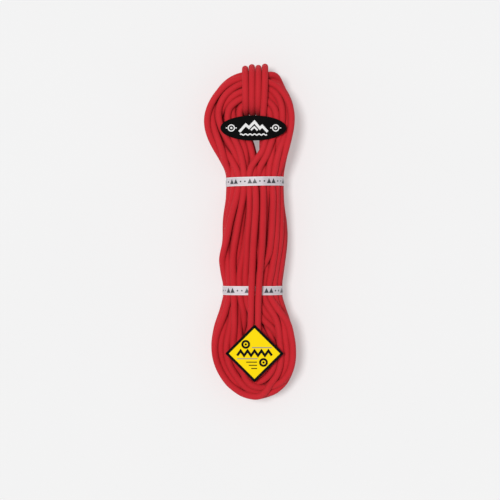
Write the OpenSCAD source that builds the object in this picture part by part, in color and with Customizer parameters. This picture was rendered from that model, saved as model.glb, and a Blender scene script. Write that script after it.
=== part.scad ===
// Dynamic climbing rope made up for sale as a banded hank with two card labels.
// The hank lies on its back. +Z is up out of its front and +Y is towards its head, the
// end with the eye. The origin is on the ground, in the middle of the whole box.

/* [Rope] */
// Diameter of the rope over its sheath
rope_d = 10; // [9.8:0.1:10.2]
// Thickness of the braided sheath
sheath_wall = 1.1; // [0.9:0.1:1.2]
// Length of the straight stretch at each end that shows the sheath and the core
end_len = 42; // [38:1:44]

/* [Rope ends] */
// Length of the shrunk sleeve on each end
sleeve_len = 30; // [20:1:36]
// Thickness of the shrunk sleeve
sleeve_wall = 0.35; // [0.2:0.05:0.4]
// Height of the fused tip beyond the sheath
tip_h = 3; // [2:0.5:4]

/* [Hank] */
// Height of the front of the hank between the bands
front_z = 72; // [70:0.5:73]
// Height of the bent strands under the head wraps
head_core_h = 60; // [58:0.5:60]

/* [Head wraps] */
// Turns of rope round the head of the hank
wrap_turns = 4; // [3:1:4]
// Sideways step from one turn to the next
wrap_pitch = 10.4; // [10:0.1:10.6]
// Bend radius of the rope's middle at the corners of a turn
wrap_bend = 20; // [16:1:24]

/* [Bands] */
// Width of the packing tape
band_w = 14; // [12:1:15]
// Thickness of the packing tape
band_t = 0.4; // [0.2:0.1:0.5]
// Place of the upper band along the hank
upper_band_y = 78.5; // [76:0.5:81]
// Place of the lower band along the hank
lower_band_y = -92; // [-94:0.5:-90]

/* [Labels] */
// Thickness of the label card
card_t = 0.6; // [0.4:0.1:0.8]
// Long axis of the oval label
oval_w = 103; // [96:1:106]
// Short axis of the oval label
oval_h = 39; // [36:1:40]
// Side of the square label that stands on its corner
diamond_side = 64.5; // [62:0.5:66]
// Corner radius of the square label
diamond_corner_r = 1.5; // [0.5:0.5:3]

/* [Hidden] */

$fn = 48;
rope_r = rope_d / 2;

// Clearances: between pieces that are stuck or shrunk together, and between pieces
// that lie on each other or move.
snug_gap = 0.1;
free_gap = 0.3;

// Colours
red = [0.80, 0.19, 0.23];
white = [0.93, 0.92, 0.90];
dark = [0.12, 0.12, 0.13];
tape_grey = [0.84, 0.80, 0.83];
label_yellow = [1.00, 0.86, 0.05];

// Sections of the hank along its length:
// [y, left edge, right edge, drop of the front below front_z, rise of the back]
STATIONS = [
    [-262.5,   7, 17, 46, 22],
    [-261,    -2, 26, 40, 17],
    [-257,   -13, 36, 33, 10],
    [-250,   -24, 45, 27, 5],
    [-240,   -36, 53, 21, 1],
    [-232,   -43, 59, 18, 0],
    [-213,   -54, 68, 14, 0],
    [-194,   -60, 71, 12.5, 0],
    [-175,   -61, 68, 11, 0],
    [-147,   -57, 64, 8, 0],
    [-119,   -48, 57, 3, 0],
    [-107,   -45, 53, 0, 0],
    [-77,    -45, 53, 0, 0],
    [-44,    -47, 54, 0, 0],
    [12,     -44, 56, 0, 0],
    [62,     -39, 54, 0, 0],
    [94,     -39, 54, 0, 0],
    [115,    -49, 57, 1, 0],
    [134,    -60, 62, 2, 0],
    [153,    -65, 67, 2, 0],
    [165,    -71, 68, 2, 0],
    [181,    -71, 68, 2, 0],
    [200,    -65, 67, 2, 0],
    [218,    -58, 57, 3, 1],
    [237,    -44, 43, 6, 6],
    [246,    -31, 33, 12, 14],
    [251,    -17, 24, 19, 22],
    [252,     -4, 14, 25, 30]];

// How full a section is: 2 is an ellipse, more is squarer
fullness = 2.4;
// The back of a section would sag this much lower, and the ground flattens it
ground_sag = 1.06;
// Corners of one section
section_sides = 36;
// The tape pulls the strands in by this much, from the edge of the tape over a short slope
groove_depth = 1.6;
groove_slope = 4;
groove_half = band_w / 2 + 1;
ring_step = 13;

// Route of the middle of each front strand, from inside the hank to its straight end
LEFT_ROUTE = [[10, 66, 66], [9.5, 50, 74], [8.5, 28, 77.3], [7, 8, 77.5], [5.3, -13, 77.5],
    [4.3, -34, 77.5], [3.2, -60, 77.5], [2, -92, 77.5], [1.2, -120, 75],
    [0.5, -147, 70], [0.5, -160, 67.8], [0.5, -166, 67.35]];
RIGHT_ROUTE = [[20.6, 66, 66], [20.5, 50, 74], [20, 28, 77.3], [19.4, 8, 77.5], [18.6, -13, 77.5],
    [17.4, -34, 77.5], [15.4, -60, 77.5], [13, -92, 77.5], [12.2, -120, 75],
    [12, -147, 70], [12, -160, 67.8], [12, -166, 67.35]];
tube_sides = 12;
// Fall of the straight ends below level, as the last stretch of the routes has it
end_fall = atan2(67.8 - 67.35, 166 - 160);

// Core: a ring of strands round three thinner ones, with the marker tape in the middle
core_ring_count = 9;
core_ring_r = 2.8;
core_strand_r = 0.93;
core_inner_count = 3;
core_inner_ring_r = 1.1;
core_inner_r = 0.7;
marker_w = 0.6;
marker_t = 0.12;

// Head wraps, as seen along X
wrap_x0 = -13;
wrap_y1 = 262.5;
wrap_w = wrap_turns * wrap_pitch;
wrap_outer = head_core_h + 2 * rope_d;
wrap_inner_r = wrap_bend - rope_r;
wrap_y0 = wrap_y1 - wrap_outer;

// The eye below the wraps narrows to the crotch where the legs of the hank meet
eye_crotch = [12, 124];
eye_mid_y = 142;
eye_mid_x = [6.5, 17.5];

// Lap of each band under the hank, as angles round the section at its corners
lap_from = 240;
lap_to = 290;
lap_steps = (lap_to - lap_from) * section_sides / 360;

// Labels: middle of each and height of the back of the card, and for the tilted one the
// line that it turns about
oval_at = [5, 161.3];
oval_back_z = 71.2;
diamond_at = [6.6, -189.8];
diamond_hinge_y = -147;
diamond_back_z = 75.8;
diamond_tilt = 5.3;

// Label tapes
tape_t = 0.3;
oval_tape_from_middle = 27;
oval_tape_w = 10;
oval_tape_y = [166, 175];
oval_tape_steps = 6;
diamond_tape_x = [-0.8, 14];
diamond_tape_y = [-161, -152.5];

// Depth of the groove that the tape pulls into the hank at y
function groove_at(y) = groove_depth * max([for (band_y = [upper_band_y, lower_band_y])
    min(1, max(0, (groove_half + groove_slope - abs(y - band_y)) / groove_slope))]);

function station(y, column) = lookup(y, [for (s = STATIONS) [s[0], s[column]]]);

// Corners of the hank's section at y, as [x, z], with every side moved out by grow. A part
// of the section has one corner more than it has steps.
function section(y, grow = 0, from = 0, to = 360, steps = section_sides) =
    let (left = station(y, 1), right = station(y, 2), inset = groove_at(y) - grow,
        low = station(y, 4) + inset, high = front_z - station(y, 3) - inset,
        half_w = (right - left) / 2 - inset, half_h = (high - low) / 2, power = 2 / fullness)
    [for (i = [0 : to - from == 360 ? steps - 1 : steps])
        let (angle = from + (to - from) * i / steps,
            across = sign(cos(angle)) * pow(abs(cos(angle)), power),
            up = sign(sin(angle)) * pow(abs(sin(angle)), power))
        [(left + right) / 2 + half_w * across,
            max(low, (low + high) / 2 + half_h * up * (up < 0 ? ground_sag : 1))]];

// Places between two ends, about ring_step apart, without the second end
function span(from, to) = let (count = ceil((to - from) / ring_step))
    [for (i = [0 : count - 1]) from + (to - from) * i / count];

function groove_rings(y) = [y - groove_half - groove_slope, y - groove_half, y + groove_half];

function ring_places() =
    let (foot = [for (s = STATIONS) if (s[0] < -194) s[0]],
        head = [for (s = STATIONS) if (s[0] >= 200) s[0]],
        edge = groove_half + groove_slope)
    concat(foot, span(-194, lower_band_y - edge), groove_rings(lower_band_y),
        span(lower_band_y + edge, upper_band_y - edge), groove_rings(upper_band_y),
        span(upper_band_y + edge, 165), span(165, 181), span(181, 200), head);

// Side faces between rings of corners, and the two end faces
function skin_faces(rings, sides) = concat(
    [[for (j = [0 : sides - 1]) j]],
    [for (i = [0 : rings - 2], j = [0 : sides - 1])
        let (k = (j + 1) % sides, a = i * sides, b = a + sides)
        each [[a + j, b + j, a + k], [a + k, b + j, b + k]]],
    [[for (j = [0 : sides - 1]) rings * sides - 1 - j]]);

function unit(v) = v / norm(v);

// Direction of a route at point i
function route_direction(route, i) =
    unit(route[min(i + 1, len(route) - 1)] - route[max(i - 1, 0)]);

// Corners of the tube round a route
function tube_points(route) = [for (i = [0 : len(route) - 1])
    let (ahead = i == len(route) - 1 ? unit(route[i] - route[i - 1]) : route_direction(route, i),
        side = unit(cross(ahead, [0, 0, 1])), up = cross(side, ahead))
    for (j = [0 : tube_sides - 1])
        route[i] + rope_r * (cos(360 * j / tube_sides) * side + sin(360 * j / tube_sides) * up)];

// A plate whose outline is drawn in X and Z, standing from y0 to y1
module along_y(y0, y1) {
    translate([0, y1, 0]) rotate([90, 0, 0]) linear_extrude(y1 - y0) children();
}

// A solid whose outline is drawn in Y and Z, standing from x0 to x1
module along_x(x0, x1) {
    translate([x0, 0, 0]) rotate([90, 0, 90]) linear_extrude(x1 - x0) children();
}

module rounded_square(low, high, r) {
    for (x = [low[0] + r, high[0] - r], y = [low[1] + r, high[1] - r])
        translate([x, y]) circle(r);
    translate([low[0] + r, low[1]]) square([high[0] - low[0] - 2 * r, high[1] - low[1]]);
    translate([low[0], low[1] + r]) square([high[0] - low[0], high[1] - low[1] - 2 * r]);
}

// The space inside the wraps, as seen along X, smaller by gap
module wrap_inside(gap) {
    rounded_square([wrap_y0 + rope_d + gap, rope_d + gap],
        [wrap_y1 - rope_d - gap, wrap_outer - rope_d - gap], wrap_inner_r - gap);
}

module skein() {
    places = ring_places();
    corners = [for (y = places, p = section(y)) [p[0], y, p[1]]];
    polyhedron(corners, skin_faces(len(places), section_sides));
}

// Everything round the head but what the wraps hold, with the wraps' own clearance
module wrap_channel() {
    along_x(wrap_x0 - free_gap, wrap_x0 + wrap_w + free_gap) difference() {
        translate([wrap_y0 - free_gap, -1])
            square([wrap_outer + 2 * free_gap, wrap_outer + 2]);
        wrap_inside(free_gap);
    }
}

module eye() {
    low_x = wrap_x0 - free_gap;
    high_x = wrap_x0 + wrap_w + free_gap;
    translate([0, 0, -1]) linear_extrude(front_z + 2)
        polygon([eye_crotch, [eye_mid_x[1], eye_mid_y], [high_x, wrap_y0 - rope_d],
            [high_x, wrap_y0], [low_x, wrap_y0], [low_x, wrap_y0 - rope_d],
            [eye_mid_x[0], eye_mid_y]]);
}

module hank() {
    color(red) difference() {
        skein();
        wrap_channel();
        eye();
    }
}

module wrap_coil() {
    color(red) along_x(wrap_x0, wrap_x0 + wrap_w) difference() {
        rounded_square([wrap_y0, 0], [wrap_y1, wrap_outer], wrap_bend + rope_r);
        wrap_inside(0);
    }
}

module front_strand(route) {
    color(red) polyhedron(tube_points(route), skin_faces(len(route), tube_sides));
}

// Puts its children, drawn up +Z, on the straight end of a route
module at_end(route) {
    translate(route[len(route) - 1]) rotate([90 + end_fall, 0, 0]) children();
}

module end_sheath(route) {
    color(red) at_end(route) difference() {
        cylinder(h = end_len, r = rope_r);
        translate([0, 0, -1]) cylinder(h = end_len + 2, r = rope_r - sheath_wall);
    }
}

module core_strands(count, ring_r, r) {
    for (i = [0 : count - 1])
        rotate(360 * i / count) translate([ring_r, 0, 0]) cylinder(h = end_len, r = r, $fn = 24);
}

module end_core(route) {
    color(white) at_end(route) {
        core_strands(core_ring_count, core_ring_r, core_strand_r);
        core_strands(core_inner_count, core_inner_ring_r, core_inner_r);
    }
}

module marker_tape(route) {
    color(label_yellow) at_end(route)
        translate([-marker_w / 2, -marker_t / 2, 0]) cube([marker_w, marker_t, end_len]);
}

module end_sleeve(route) {
    color(dark) at_end(route) translate([0, 0, end_len - sleeve_len]) difference() {
        cylinder(h = sleeve_len, r = rope_r + sleeve_wall);
        translate([0, 0, -1]) cylinder(h = sleeve_len + 2, r = rope_r);
    }
}

// The sheath and the core melted together into a low dome
module end_tip(route) {
    flat_r = rope_r - tip_h + 1;
    color(red) at_end(route) translate([0, 0, end_len]) rotate_extrude() {
        square([rope_r, 1]);
        square([flat_r, tip_h]);
        translate([flat_r, 1]) intersection() {
            circle(tip_h - 1);
            square(tip_h);
        }
    }
}

// One turn of tape round the hank at y, with its ends lapped under the hank
module band(y) {
    color(tape_grey) along_y(y - band_w / 2, y + band_w / 2) {
        difference() {
            polygon(concat(
                section(y, snug_gap + band_t, lap_to, lap_from + 360, section_sides - lap_steps),
                section(y, snug_gap + 2 * band_t, lap_from, lap_to, lap_steps)));
            polygon(section(y, snug_gap));
        }
    }
}

// A strip that follows the section at y, lifted off it by gap, between two angles
module strip_outline(y, gap, thick, from, to, steps) {
    inner = section(y, gap, from, to, steps);
    outer = section(y, gap + thick, from, to, steps);
    count = len(outer);
    polygon(concat(inner, [for (i = [1 : count]) outer[count - i]]));
}

module oval_card() {
    sides = 72;
    color(dark) translate([oval_at[0], oval_at[1], oval_back_z]) linear_extrude(card_t)
        polygon([for (i = [0 : sides - 1])
            [oval_w / 2 * cos(360 * i / sides), oval_h / 2 * sin(360 * i / sides)]]);
}

// One strip of tape under the oval card, side -1 on the left leg and 1 on the right
module oval_tape(side) {
    y = oval_tape_y[1];
    middle = (station(y, 1) + station(y, 2)) / 2;
    half_w = (station(y, 2) - station(y, 1)) / 2;
    near = oval_at[0] + side * oval_tape_from_middle;
    far = near + side * oval_tape_w;
    // The angle round the section that stands at x
    function angle_at(x) = let (u = (x - middle) / half_w)
        acos(sign(u) * pow(abs(u), fullness / 2));
    color(white) along_y(oval_tape_y[0], y)
        strip_outline(y, snug_gap, tape_t, min(angle_at(near), angle_at(far)),
            max(angle_at(near), angle_at(far)), oval_tape_steps);
}

module diamond_card() {
    half = diamond_side / 2;
    color(label_yellow) translate([diamond_at[0], diamond_hinge_y, diamond_back_z])
        rotate([diamond_tilt, 0, 0]) translate([0, diamond_at[1] - diamond_hinge_y, 0])
        rotate(45) linear_extrude(card_t)
            rounded_square([-half, -half], [half, half], diamond_corner_r);
}

// The tape under the top corner of the square card lies across both front strands
module diamond_tape() {
    a = LEFT_ROUTE[len(LEFT_ROUTE) - 3];
    b = LEFT_ROUTE[len(LEFT_ROUTE) - 2];
    fall = atan2(a[2] - b[2], a[1] - b[1]);
    lift = rope_r + snug_gap;
    color(white) translate([0, a[1], a[2]]) rotate([fall, 0, 0])
        translate([diamond_tape_x[0], diamond_tape_y[0] - a[1], lift])
        cube([diamond_tape_x[1] - diamond_tape_x[0],
            diamond_tape_y[1] - diamond_tape_y[0], tape_t]);
}

hank();
wrap_coil();
front_strand(LEFT_ROUTE);  // front_strand_left
front_strand(RIGHT_ROUTE);  // front_strand_right
end_sheath(LEFT_ROUTE);  // end_sheath_left
end_sheath(RIGHT_ROUTE);  // end_sheath_right
end_core(LEFT_ROUTE);  // end_core_left
end_core(RIGHT_ROUTE);  // end_core_right
marker_tape(LEFT_ROUTE);  // marker_tape_left
marker_tape(RIGHT_ROUTE);  // marker_tape_right
end_sleeve(LEFT_ROUTE);  // end_sleeve_left
end_sleeve(RIGHT_ROUTE);  // end_sleeve_right
end_tip(LEFT_ROUTE);  // end_tip_left
end_tip(RIGHT_ROUTE);  // end_tip_right
band(upper_band_y);  // band_upper
band(lower_band_y);  // band_lower
oval_card();
oval_tape(-1);  // oval_tape_left
oval_tape(1);  // oval_tape_right
diamond_card();
diamond_tape();
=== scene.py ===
"""A dynamic climbing rope made up as a banded hank, with two card labels.

The rope is one line of points. It is laid out turn by turn between an inner and an outer
rail, then strands that lie in each other are pushed apart, to rest nearly side by side.
Lengths in the rope's layout are in millimetres, and everything handed to Blender is in metres.
"""

import math

import bpy
import numpy as np
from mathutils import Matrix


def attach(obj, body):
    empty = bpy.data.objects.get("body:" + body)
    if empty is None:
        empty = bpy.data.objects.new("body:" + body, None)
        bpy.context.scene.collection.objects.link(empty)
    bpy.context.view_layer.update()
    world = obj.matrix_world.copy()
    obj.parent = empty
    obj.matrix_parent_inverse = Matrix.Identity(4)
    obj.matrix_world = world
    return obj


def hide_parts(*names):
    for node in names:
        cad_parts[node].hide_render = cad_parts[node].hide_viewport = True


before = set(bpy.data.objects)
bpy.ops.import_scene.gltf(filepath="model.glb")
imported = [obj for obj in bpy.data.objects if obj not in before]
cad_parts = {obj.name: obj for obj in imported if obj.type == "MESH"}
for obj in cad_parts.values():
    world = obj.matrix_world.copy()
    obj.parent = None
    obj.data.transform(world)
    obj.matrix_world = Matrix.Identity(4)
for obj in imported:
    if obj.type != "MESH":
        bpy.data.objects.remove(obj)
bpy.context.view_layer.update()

MM = 0.001
ROPE_D = 10.0
ROPE_R = ROPE_D / 2
STEP = 5.0
RNG = np.random.default_rng(7)

# ---------------------------------------------------------------- camera

VIEW_WIDTH = 781 * MM
VIEW_MIDDLE = (-0.4 * MM, -28.6 * MM)
STRAND_Z = 60 * MM
CAMERA_UP = 3.0


def make_camera():
    data = bpy.data.cameras.new("camera")
    data.sensor_width = 36
    data.lens = data.sensor_width * CAMERA_UP / VIEW_WIDTH
    camera = bpy.data.objects.new("camera", data)
    bpy.context.collection.objects.link(camera)
    camera.location = (*VIEW_MIDDLE, STRAND_Z + CAMERA_UP)
    bpy.context.scene.camera = camera


# ---------------------------------------------------------------- layout of the rope

# Each rail point: inner x, y, outer x, y, lowest and highest edge of the strands there, and
# how far the strands have parted into a leg of their own, from 0 to 1.
HEAD_LEFT = [
    (7, -13, -43.5, -13, 0, 72, 0), (7.5, 20, -44.5, 20, 0, 72, 0),
    (7.5, 50, -38.5, 50, 0, 72, 0),
    (7.5, 78, -37.5, 78, 1.5, 70.5, 0), (8, 98, -39.5, 96, 0, 71, 0.1),
    (12, 125, -50, 115, 0, 70, 0.6), (7, 144, -63, 136, 0, 69, 1),
    (-3, 160, -71.5, 158, 0, 69, 1), (-11, 176, -73, 179, 1, 69, 1),
    (-11, 187, -66, 203, 3, 69, 1), (-4, 193, -51.5, 228, 7, 69, 1),
    (2, 196, -29, 248.5, 10, 69, 1), (7, 197, 5, 254, 10, 70, 1)]
HEAD_RIGHT = [
    (7, -13, 60, -13, 0, 72, 0), (7.5, 20, 58, 20, 0, 72, 0), (7.5, 50, 53, 50, 0, 72, 0),
    (7.5, 78, 52.5, 78, 1.5, 70.5, 0), (9, 98, 53.5, 96, 0, 71, 0.1),
    (14, 125, 58, 118, 0, 70, 0.6), (18.5, 144, 64, 140, 0, 69, 1), (24, 160, 69, 163, 0, 69, 1),
    (27, 176, 70, 181, 1, 69, 1), (26, 187, 67, 203, 3, 69, 1), (20, 193, 57, 222, 7, 69, 1),
    (14, 196, 40, 244, 10, 69, 1), (7, 197, 5, 254, 10, 70, 1)]
FOOT_LEFT = [
    (7, -13, -43.5, -13, 0, 72, 0), (6.5, -44, -49.5, -44, 0, 72, 0),
    (5.5, -92, -42.7, -92, 1.5, 70.5, 0), (6, -119, -47, -119, 0, 68, 0.1),
    (1, -147, -57, -147, 0, 63, 0.6), (-8, -170, -62, -175, 0, 60, 1),
    (-12, -190, -60, -198, 0, 58, 1), (-9, -206, -52, -220, 0, 56, 1),
    (-1, -217, -38, -241, 0, 54, 1), (7, -222, -15, -259, 0, 51, 1),
    (13, -223, 12, -265, 0, 50, 1)]
FOOT_RIGHT = [
    (7, -13, 60, -13, 0, 72, 0), (8, -44, 56, -44, 0, 72, 0),
    (8, -92, 50.5, -92, 1.5, 70.5, 0), (10, -119, 56, -119, 0, 68, 0.1),
    (17, -147, 66, -147, 0, 63, 0.6), (28, -170, 71.5, -175, 0, 60, 1),
    (34, -190, 72, -198, 0, 58, 1), (33, -206, 68, -220, 0, 56, 1),
    (27, -217, 57.5, -241, 0, 54, 1), (20, -222, 39, -257, 0, 51, 1),
    (13, -223, 12, -265, 0, 50, 1)]

# The first rail point of the head at which the eye is open
EYE_FROM = 5

# Strands in each layer of the narrow section, and in each layer of a leg, from the back to
# the front, with a leg layer's height between the back and the front
LAYERS = [4, 5, 6, 7, 8, 9, 8, 7]
LEG_LAYERS = [(5, 0.0), (5, 0.28), (5, 0.56), (6, 0.83), (6, 1.0)]
FULLNESS = 2.4
LAYER_REACH = 0.8
TWIST = math.radians(22)

# The free strands: the route's own points, from under the upper band to the straight end
LEFT_ROUTE = [(10, 66, 64.8), (9.5, 48, 73.2), (8.5, 28, 77.2), (7, 8, 77.5), (5.3, -13, 77.5),
              (4.3, -34, 77.5), (3.2, -60, 77.5), (2, -92, 77.5), (1.2, -120, 75),
              (0.5, -147, 70), (0.5, -160, 67.8), (0.5, -166, 67.35)]
RIGHT_ROUTE = [(20.6, 66, 64.8), (20.5, 48, 73.2), (20, 28, 77.2), (19.4, 8, 77.5),
               (18.6, -13, 77.5), (17.4, -34, 77.5), (15.4, -60, 77.5), (13, -92, 77.5),
               (12.2, -120, 75), (12, -147, 70), (12, -160, 67.8), (12, -166, 67.35)]
END_LENGTH = 42.0
UPPER_BAND_Y = 78.5
LOWER_BAND_Y = -92.0
BAND_W = 14.0

# The section that each band pulls the strands into: its y, middle x and half width. Both have
# the same middle height and half height.
BAND_SECTIONS = ((UPPER_BAND_Y, 7.5, 45), (LOWER_BAND_Y, 4, 46.5))
SECTION_MIDDLE_Z = 36
SECTION_HALF_H = 34.4
SQUEEZE_HALF = BAND_W / 2 + 5

# Strands that trade places on their way through one leg, by their cells
BAND_TRADES = {-1: [((7, 7, 3.0), (6, 8, 3.5)), ((7, 7, 1.0), (6, 8, 0.5))],
               1: [((7, 7, 2.0), (7, 7, 3.0)), ((7, 7, 1.0), (6, 8, 2.5))]}
HEAD_LEFT_TRADES = [((4, 4), (3, 5)), ((4, 5), (2, 4))]
FOOT_LEFT_TRADES = [((4, 4), (3, 4))]
FOOT_RIGHT_TRADES = [((4, 4), (3, 5))]

# Where the free strands go from under the upper band into the skein and from the wraps
LEFT_LEAD = [(7, 108, 62), (9.6, 92, 63), (10.2, 76, 64)]
RIGHT_LEAD = [(21, 160, 60), (21.6, 140, 60), (21.5, 115, 61.5), (21, 92, 63), (20.7, 76, 64)]

# The part of a head leg and the arc over which a strand moves to its place in the other leg:
# for most strands, for those that cross on the left, and for the proud one
CHANGE = (0.5, 1.5)
EARLY_CHANGE = (0.42, 0.95)
PROUD_CHANGE = (1.06, 1.2)

# One strand stands proud beside the wraps, then dives under its neighbours
PROUD_CELL = (2, 4)
PROUD_AT = (37, 240)
PROUD_REACH = 17.0
PROUD_BY = (4.5, 6.5, 4.0)

# The height that the strands' middles stay under, by y
CEILING_Y = (-265, -215, -160, -120, -80, 60, 100, 130, 250)
CEILING_Z = (50, 55, 59, 65, 67, 67, 65.5, 64.3, 64.3)

WRAP_TURNS = 4
WRAP_FIRST_X = -7.8
WRAP_PITCH = 10.3
WRAP_EYE_X = (-5.6, 8.4)
WRAP_BOX = (184.5, 257.5, 5.0, 75.0)
WRAP_BEND = 20.0
WRAP_LIFTS = (0.0, 2.7, 1.3, 3.6)

# The points of a wrap's turn at which the last one stops in the eye, and from which the others
# step over to the next
WRAP_STOP = 22
WRAP_STEP_FROM = 26

# The strands that the wraps hold are within this half width of x, beyond this y, and their
# middles stay between these heights
WRAPPED_X = 7.8
WRAPPED_HALF_W = 24
WRAPPED_Y = 190
WRAPPED_Z = (15.2, 64.8)

# The first turn starts beyond this y, and the last leg, to the wraps, lies between these
FIRST_TURN_Y = 125
LAST_LEG_Y = (0, 150)

# How firmly the free strands, the wraps and their leads are held as the rope settles, where 1
# stays in place
FREE_STRAND_HOLD = 1.0
WRAP_HOLD = 0.9
LEAD_HOLD = 0.6


def spline(points, count):
    """count points along a smooth curve through the given rows."""
    p = np.asarray(points, float)
    p = np.vstack([2 * p[0] - p[1], p, 2 * p[-1] - p[-2]])
    t = np.linspace(0, len(p) - 3, count)
    i = np.minimum(t.astype(int), len(p) - 4)
    u = (t - i)[:, None]
    a, b, c, d = p[i], p[i + 1], p[i + 2], p[i + 3]
    return 0.5 * (2 * b + (c - a) * u + (2 * a - 5 * b + 4 * c - d) * u**2
                  + (3 * b - a - 3 * c + d) * u**3)


def resample(points, step):
    """The same line with its points a step apart."""
    along = np.concatenate([[0], np.cumsum(np.linalg.norm(np.diff(points, axis=0), axis=1))])
    at = np.linspace(0, along[-1], max(2, int(round(along[-1] / step)) + 1))
    return np.column_stack([np.interp(at, along, points[:, k]) for k in range(3)])


def smoothstep(x, low, high):
    t = np.clip((x - low) / (high - low), 0, 1)
    return t * t * (3 - 2 * t)


def band_cells(side):
    """One row a strand of one side, from the front: its layer, how many that layer has, and
    its place from the middle."""
    found = []
    for layer, count in enumerate(LAYERS):
        places = np.arange(count) - (count - 1) / 2
        mine = [abs(c) for c in places if c * side > 0.1]
        if count % 2 and (layer // 2 + (side < 0)) % 2:
            mine.append(0.0)
        mine.sort(reverse=layer % 2 == 0)
        found += [(layer, count, c) for c in mine]
    found.sort(key=lambda cell: -cell[0])
    return found


def leg_cells(strands):
    """One row a strand of a leg: its layer there and its place in that layer. Strands of one
    layer keep the order they have in the narrow section."""
    found = [None] * len(strands)
    taken = 0
    for layer in range(len(LEG_LAYERS) - 1, -1, -1):
        group = range(taken, taken + LEG_LAYERS[layer][0])
        ranked = sorted(group, key=lambda k: strands[k][2] + 0.01 * strands[k][0])
        for i, k in enumerate(ranked):
            found[k] = (layer, i)
        taken += LEG_LAYERS[layer][0]
    return found


def traded(cells, pairs):
    """The strands' cells, with each pair's two strands in each other's places."""
    cells = list(cells)
    for a, b in pairs:
        i, j = cells.index(a), cells.index(b)
        cells[i], cells[j] = b, a
    return cells


def width_share(up):
    """How wide the narrow section is at a height from -1 to 1, as a share of its full width."""
    return (1 - abs(up * LAYER_REACH) ** FULLNESS) ** (1 / FULLNESS)


def band_place(rail, cell):
    """The line of a strand that keeps its cell of the narrow section along a rail. The
    section is turned a little between the bands, so that its strands run at a slant."""
    layer, count, c = cell
    inner, outer, low, high = rail[:, 0:2], rail[:, 2:4], rail[:, 4], rail[:, 5]
    width = np.linalg.norm(outer - inner, axis=1)
    side = np.sign(outer[0, 0] - inner[0, 0])
    up = 2 * layer / (len(LAYERS) - 1) - 1
    across = side * c * 2 * width_share(up) / (count - 1)
    y = rail[:, 1]
    turn = TWIST * np.where(y > LOWER_BAND_Y, 1 - smoothstep(y, LOWER_BAND_Y, 95),
                            smoothstep(y, -190, LOWER_BAND_Y))
    x = across * np.cos(turn) - up * np.sin(turn)
    z = across * np.sin(turn) + up * np.cos(turn)
    line = np.empty((len(rail), 3))
    line[:, :2] = inner + (outer - inner) * (side * x * (width - ROPE_R) / width)[:, None]
    line[:, 2] = (low + high) / 2 + z * ((high - low) / 2 - ROPE_R)
    return line


def leg_place(rail, cell):
    """The line of a strand that keeps its cell of a leg along a rail."""
    layer, i = cell
    inner, outer, low, high = rail[:, 0:2], rail[:, 2:4], rail[:, 4], rail[:, 5]
    width = np.linalg.norm(outer - inner, axis=1)
    count, up = LEG_LAYERS[layer]
    inset = 0.02 if count == 6 else 0.09
    share = inset + (1 - 2 * inset) * i / (count - 1)
    across = (ROPE_R + (width - ROPE_D) * share) / width
    line = np.empty((len(rail), 3))
    line[:, :2] = inner + (outer - inner) * across[:, None]
    line[:, 2] = low + ROPE_R + up * (high - low - ROPE_D)
    return line


def quarter(rail, band_cell, leg_cell, next_cell, low_cell=None, change=CHANGE):
    """A strand from the middle of the hank to the end of the rail. The next cell is the one
    it moves to for the other leg, over the change's part of the rail, and a low cell is the
    one it has moved to at the lower band."""
    sampled = spline(rail, 140)
    t = np.linspace(0, 1, len(sampled))
    late = smoothstep(t, *change)[:, None]
    leg = leg_place(sampled, leg_cell) * (1 - late) + leg_place(sampled, next_cell) * late
    parted = np.clip(sampled[:, 6], 0, 1)[:, None]
    narrow = band_place(sampled, band_cell)
    if low_cell:
        moved = smoothstep(-sampled[:, 1], 10, 78)[:, None]
        narrow = narrow * (1 - moved) + band_place(sampled, low_cell) * moved
    return (1 - parted) * narrow + parted * leg


def wander(line, size):
    """Slow sideways drift of one strand, still at the bands."""
    y = line[:, 1]
    calm = np.minimum(smoothstep(abs(y - UPPER_BAND_Y), 6, 45),
                      smoothstep(abs(y - LOWER_BAND_Y), 6, 40))
    drift = np.zeros_like(line)
    for wave in (130.0, 210.0):
        phase = RNG.uniform(0, 2 * math.pi, 2)
        drift[:, 0] += np.cos(2 * math.pi * y / wave + phase[0]) * size
        drift[:, 2] += np.cos(2 * math.pi * y / wave + phase[1]) * size * 0.7
    return line + drift * calm[:, None] * RNG.uniform(0.3, 1.0)


def soften(values, reach):
    """Values along the rope averaged over a bell of this many points."""
    span = np.arange(-3 * int(math.ceil(reach)), 3 * int(math.ceil(reach)) + 1)
    bell = np.exp(-0.5 * (span / reach) ** 2)
    bell /= bell.sum()
    padded = np.pad(values, ((len(span) // 2,) * 2, (0, 0)), mode="reflect", reflect_type="odd")
    return np.column_stack([np.convolve(padded[:, k], bell, "valid")
                            for k in range(values.shape[1])])


def wrap_line():
    """The turns round the head: up the back, over the top, down the front, into the eye."""
    y0, y1, z0, z1 = WRAP_BOX
    r = WRAP_BEND
    corners = [((y1 - r, z0 + r), -90), ((y1 - r, z1 - r), 0), ((y0 + r, z1 - r), 90),
               ((y0 + r, z0 + r), 180)]
    turn = []
    for (cy, cz), start in corners:
        for a in np.radians(np.linspace(start, start + 90, 9)):
            turn.append((cy + r * math.cos(a), cz + r * math.sin(a)))
    turn = np.array(turn)
    points = []
    for k in range(WRAP_TURNS):
        top_x = WRAP_FIRST_X + WRAP_PITCH * k
        eye_x = WRAP_EYE_X[0] + WRAP_EYE_X[1] * k
        for j, (y, z) in enumerate(turn):
            if k == WRAP_TURNS - 1 and j > WRAP_STOP:
                break
            share = smoothstep(y, y0 + 5, y0 + 45)
            step = WRAP_EYE_X[1] * smoothstep(j, WRAP_STEP_FROM, len(turn)) * (1 - share)
            points.append((eye_x + (top_x - eye_x) * share + step,
                           y + WRAP_LIFTS[k] * smoothstep(y, 235, 257), z))
    return np.array(points)


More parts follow.
